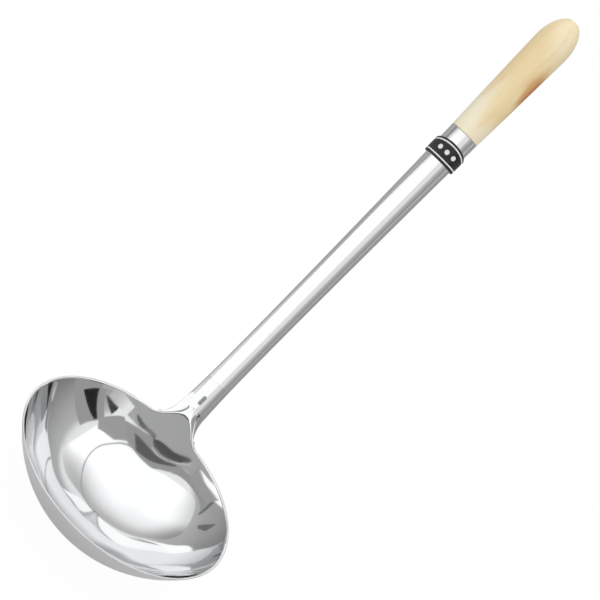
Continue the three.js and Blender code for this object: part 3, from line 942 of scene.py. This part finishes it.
def studio_mesh(name, points, faces):
    """A mesh that is part of the studio and not of the ladle."""
    mesh = bpy.data.meshes.new(name)
    mesh.from_pydata([tuple(p) for p in points], [], faces)
    made = bpy.data.objects.new(name, mesh)
    bpy.context.scene.collection.objects.link(made)
    return made


def grid_faces(rows, columns):
    """Faces between the points of a grid."""
    return [(r * columns + c, r * columns + c + 1, (r + 1) * columns + c + 1, (r + 1) * columns + c)
            for r in range(rows - 1) for c in range(columns - 1)]


def glow(name):
    """A new material that only glows, its node tree and its Emission shader."""
    material = bpy.data.materials.new(name)
    material.use_nodes = True
    tree = material.node_tree
    tree.nodes.remove(tree.nodes["Principled BSDF"])
    emission = add(tree, "Emission", {"Color": (1, 1, 1, 1)})
    tree.links.new(emission.outputs[0], tree.nodes["Material Output"].inputs["Surface"])
    return material, tree, emission


def make_card(name, tone, points, faces):
    """A card that shows only in reflections. Its tone is a number or a function of a node tree."""
    made = studio_mesh(name, points, faces)
    material, tree, emission = glow(name)
    level = wire(tree, "MULTIPLY", tone(tree), CARD_LEVEL) if callable(tone) else tone * CARD_LEVEL
    feed(tree, emission.inputs["Strength"], level)
    made.data.materials.append(material)
    for kind in ("camera", "diffuse", "transmission", "volume_scatter", "shadow"):
        setattr(made, "visible_" + kind, False)


def edge(corners):
    """Points along a straight edge between two corners, or a curved one through three."""
    share = np.linspace(0, 1, CARD_STEPS)[:, None]
    if len(corners) == 2:
        return lerp(*np.array(corners, float), share)
    start, middle, end = np.array(corners, float)
    return ((1 - share) * (1 - 2 * share) * start + 4 * share * (1 - share) * middle
            + share * (2 * share - 1) * end)


def round_card(name, tone, low, high, distance, look, centre):
    """A card at a distance all over, between two edges whose corners are angles in degrees."""
    lift = np.linspace(0, 1, CARD_STEPS)[:, None, None]
    angles = np.radians(lerp(edge(low), edge(high), lift))
    points = centre + distance * look(angles[..., 0], angles[..., 1]).reshape(-1, 3)
    make_card(name, tone, points, grid_faces(CARD_STEPS, CARD_STEPS))


def floor_card(name, tone, low, high):
    """A card that lies on the floor between two corners."""
    corners = [(low[0], low[1]), (high[0], low[1]), (high[0], high[1]), (low[0], high[1])]
    make_card(name, tone, [(x, y, CARD_LIFT) for x, y in corners], [(0, 1, 2, 3)])


def sky(turn, rise):
    """Direction by its turn from the camera's side towards -Y and its rise above the floor."""
    flat = np.cos(rise)
    return np.stack([-np.cos(turn) * flat, -np.sin(turn) * flat, np.sin(rise)], axis=-1)


# The direction that the shaft's front mirrors towards the camera, and the one square to it
reflected = 2 * (front @ np.array(towards)) * front - np.array(towards)
mirrored = unit(reflected * np.array([1, 0, 1]))
above_mirrored = np.array([mirrored[2], 0, -mirrored[0]])


def round_shaft(turn, tilt):
    """Direction by its turn round the shaft towards -Y and its tilt along the shaft."""
    flat = np.cos(turn)[..., None] * mirrored + np.sin(turn)[..., None] * np.array([0, -1, 0])
    return np.cos(tilt)[..., None] * flat + np.sin(tilt)[..., None] * above_mirrored


def frame_axes(tree):
    """Coordinates in the frame, in metres."""
    return axes_of(tree, add(tree, "TexCoord").outputs["Object"])


def strip_tone(tree):
    """White, and duller towards -Y."""
    across = frame_axes(tree)["Y"]
    middle = span(tree, across, *STRIP_MIDDLE)
    return wire(tree, "MULTIPLY", middle, span(tree, across, *STRIP_END))


def wall_tone(tree):
    """Dull near the floor and paler towards the lamp."""
    height = frame_axes(tree)["Z"]
    lower = span(tree, height, *WALL_LOW, kind="LINEAR")
    return wire(tree, "ADD", lower, span(tree, height, *WALL_HIGH))


def softbox_tone(tree):
    """White in the middle, and duller towards the grip and the +Y side."""
    axes = frame_axes(tree)
    lengthwise = span(tree, axes["X"], *SOFTBOX_LENGTH)
    right = span(tree, axes["Y"], *SOFTBOX_RIGHT)
    left = span(tree, axes["Y"], *SOFTBOX_LEFT)
    tone = wire(tree, "MULTIPLY", wire(tree, "MULTIPLY", lengthwise, right), left)
    return wire(tree, "MINIMUM", tone, SOFTBOX_WHITE)


def floor_painted_shadow(tree):
    """Painted shadow of the ladle on the floor, seen only in the steel: dull by the shaft, whiter
    to its side and duller again under the grip.
    """
    axes = frame_axes(tree)
    aside = span(tree, wire(tree, "DIVIDE", axes["Y"], axes["X"]), *FLOOR_ASIDE)
    under = span(tree, axes["X"], *FLOOR_UNDER, kind="LINEAR")
    return wire(tree, "MAXIMUM", wire(tree, "MULTIPLY", aside, under), FLOOR_DULLEST)


# Cards round the neck: name, tone, lower and upper edge as (turn, tilt), and distance
SHAFT_CARDS = [
    # On the camera's side, a bright strip that fills the tube's front, between dull boards
    ("key_strip", strip_tone, [(-92, -0.5), (56, -0.5)], [(-92, 8.5), (56, 8.5)], 1.50),
    ("strip_line", 0.80, [(23, -0.5), (31, -0.5)], [(23, 8.5), (31, 8.5)], 1.49),
    ("lower_board", 0.41, [(-62, -34), (50, -34)], [(-62, -0.5), (50, -0.5)], 1.50),
    ("upper_board", 0.34, [(-26, 8.5), (11, 8.5), (48, 22)],
     [(-26, 16), (10, 31), (46, 34)], 1.51),
    ("left_board", 0.33, [(-66, 11), (-46, 8), (-26, 8.5)],
     [(-66, 18), (-46, 13.5), (-26, 16)], 1.51),
    ("far_dark", 0.12, [(-20, 9.5), (-2, 13.5), (17, 15)],
     [(-21, 10.5), (-8, 18.5), (12, 22)], 1.48),
    ("far_line", 0.60, [(-13, 10.5), (-5, 12.5), (3, 12.5)],
     [(-13, 11.5), (-5, 13.5), (3, 13.5)], 1.47),
    # Close by, dull and dark pieces that hide the strip from the bowl, but not from the shaft
    ("near_board", 0.41, [(-23, -9), (20, -9)], [(-23, 2.5), (20, 2.5)], 0.102),
    ("near_side", 0.36, [(-54, 2.5), (-39, -1), (-22.5, -4)],
     [(-48, 7.5), (-34, 4.5), (-20, 3)], 0.102),
    ("near_dark", 0.09, [(-16, -3), (-5, -2), (4, 2.5)],
     [(-16, -3), (-10, 1.5), (2, 4)], 0.100),
    ("near_dull", 0.20, [(3.5, -0.5), (9, -0.5)], [(3, 3), (8.5, 2)], 0.101),
    ("near_spot", 0.14, [(9, -0.5), (13, -2.5), (14.5, -2)],
     [(8.5, 2), (10.5, 1.5), (12, 0.5)], 0.100),
    ("near_line", 0.60, [(-16.5, -2), (-12, 1), (-8, 3.5)],
     [(-17, -1.5), (-12.5, 1.5), (-8, 4)], 0.099),
    ("side_line", 0.50, [(7, 2.5), (12, 2), (18, -2)],
     [(7, 3), (12, 2.5), (18.5, -1.5)], 0.099),
]
# The same beside the neck, with edges as (turn, rise): it fills the hollow of the neck's flank
FLANK_CARD = ("flank_card", 1.15, [(-86, 42), (-112, 22), (-148, -4)],
              [(-70, 62), (-116, 38), (-150, 6)], 0.028)
# The same round the bowl
BOWL_CARDS = [
    # A wall that is paler higher up, with duller boards in front of it
    ("wall", wall_tone, [(60, 0), (300, 0)], [(60, 47), (300, 47)], 5.0),
    ("far_wall", 0.50, [(150, 0), (215, 0)], [(150, 24), (215, 22)], 4.4),
    ("side_wall", 0.34, [(76, 0), (106, 0)], [(70, 44), (106, 40)], 4.4),
    ("low_wall", 0.46, [(56, 0), (76, 0)], [(56, 26), (76, 22)], 4.3),
    ("side_board", 0.36, [(47, 44), (62, 42), (80, 41)], [(36, 63), (58, 60), (84, 50)], 1.2),
    # Black and grey flags, and a white card behind the grip
    ("flag_one", 0.02, [(78, 22), (95, 19)], [(81, 41), (86, 41.5)], 4.0),
    ("flag_two", 0.05, [(57, 31), (72, 26.5)], [(59, 36.5), (63, 39.5)], 4.0),
    ("small_flag", 0.16, [(-106, 19), (-97, 17)], [(-104, 24), (-100, 25)], 4.0),
    ("thin_flag", 0.16, [(-87.5, 28.5), (-83, 22), (-77, 19.5)],
     [(-86, 30), (-81.5, 24.5), (-77.5, 21.5)], 4.0),
    ("back_card", 1.10, [(162, 31), (195, 24.5), (227, 17)],
     [(165, 42), (190, 45.5), (225, 27)], 4.0),
]
# Cards on the floor: name, tone and two corners
FLOOR_CARDS = [
    # floor_left carries a painted shadow of the ladle under the shaft and grip, seen only in the
    # steel
    ("floor_left", floor_painted_shadow, (0.02, 0.0), (1.6, 3.0)),
    ("floor_right", 0.34, (-0.02, -1.4), (1.4, 0.0)),
]


def make_softbox():
    """The lamp overhead as the steel mirrors it, with rounded corners."""
    low, high = np.array(SOFTBOX_LOW), np.array(SOFTBOX_HIGH)
    turn = np.linspace(0, 2 * math.pi, SOFTBOX_POINTS, endpoint=False)
    outline = np.stack([np.cos(turn), np.sin(turn)], axis=1)
    outline = np.sign(outline) * np.abs(outline) ** (2 / SOFTBOX_SQUARENESS)
    outline = (low + high) / 2 + (high - low) / 2 * outline
    points = [(bowl_spot[0] + x, y, SOFTBOX_HEIGHT) for x, y in outline]
    make_card("softbox", softbox_tone, points, [tuple(range(SOFTBOX_POINTS))])


def make_softbox_edge():
    """The thin dark edge of the lamp's inner frame."""
    height = SOFTBOX_HEIGHT - FRAME_DROP
    middle = bowl_spot[0] + FRAME_MIDDLE
    turns = np.radians(np.linspace(*FRAME_TURN, FRAME_STEPS))
    points = [(middle + reach * math.cos(turn), -width * math.sin(turn), height)
              for reach, width in (FRAME_INNER, FRAME_OUTER) for turn in turns]
    make_card("softbox_edge", FRAME_TONE, points, grid_faces(2, FRAME_STEPS))


def make_floor():
    """A pale floor: white to the camera, duller in the steel, and grey for the soft light."""
    turns = np.linspace(0, 2 * math.pi, FLOOR_SIDES, endpoint=False)
    points = [(FLOOR_RADIUS * math.cos(t), FLOOR_RADIUS * math.sin(t), -FLOOR_DROP) for t in turns]
    made = studio_mesh("floor", points, [tuple(range(FLOOR_SIDES))])
    material, tree, emission = glow("floor")
    emission.inputs["Strength"].default_value = FLOOR_GLOW
    diffuse = add(tree, "BsdfDiffuse", {"Color": (FLOOR_GREY, FLOOR_GREY, FLOOR_GREY, 1)})
    rays = add(tree, "LightPath").outputs
    in_mirrors = wire(tree, "MAXIMUM", rays["Is Glossy Ray"], rays["Is Transmission Ray"])
    share = wire(tree, "MAXIMUM", wire(tree, "MULTIPLY", rays["Is Camera Ray"], FLOOR_WHITE),
                 wire(tree, "MULTIPLY", in_mirrors, FLOOR_MIRRORED))
    mix = add(tree, "MixShader", {"Fac": share})
    tree.links.new(diffuse.outputs[0], mix.inputs[1])
    tree.links.new(emission.outputs[0], mix.inputs[2])
    tree.links.new(mix.outputs[0], tree.nodes["Material Output"].inputs["Surface"])
    made.data.materials.append(material)


def make_surroundings():
    """White to the camera and in the steel, and softer as light on the other pieces."""
    world = bpy.data.worlds.new("studio")
    world.use_nodes = True
    tree = world.node_tree
    white = tree.nodes["Background"]
    dress(tree, white, {"Color": (1, 1, 1, 1), "Strength": 1.0})
    soft = add(tree, "Background", {"Color": (1, 1, 1, 1), "Strength": AMBIENT})
    rays = add(tree, "LightPath").outputs
    in_mirrors = wire(tree, "MAXIMUM", rays["Is Glossy Ray"], rays["Is Transmission Ray"])
    seen = wire(tree, "MAXIMUM", rays["Is Camera Ray"], in_mirrors)
    mix = add(tree, "MixShader", {"Fac": seen})
    tree.links.new(soft.outputs[0], mix.inputs[1])
    tree.links.new(white.outputs[0], mix.inputs[2])
    tree.links.new(mix.outputs[0], tree.nodes["World Output"].inputs["Surface"])
    bpy.context.scene.world = world


def make_lamp(name, stand, aim, size, power):
    """A round soft lamp that the steel doesn't mirror."""
    data = bpy.data.lights.new(name, "AREA")
    data.shape = "DISK"
    data.size = size
    data.energy = power
    made = bpy.data.objects.new(name, data)
    bpy.context.scene.collection.objects.link(made)
    turn = (Vector(aim) - Vector(stand)).to_track_quat("-Z", "Y").to_matrix().to_4x4()
    made.matrix_world = Matrix.Translation(stand) @ turn
    made.visible_glossy = False


for details in SHAFT_CARDS:
    round_card(*details, round_shaft, neck_spot)
round_card(*FLANK_CARD, sky, neck_spot)
for details in BOWL_CARDS:
    round_card(*details, sky, bowl_spot)
make_softbox()
make_softbox_edge()
make_floor()
for details in FLOOR_CARDS:
    floor_card(*details)
make_surroundings()
for details in LAMPS:
    make_lamp(*details)
bpy.context.scene.view_settings.view_transform = "Standard"
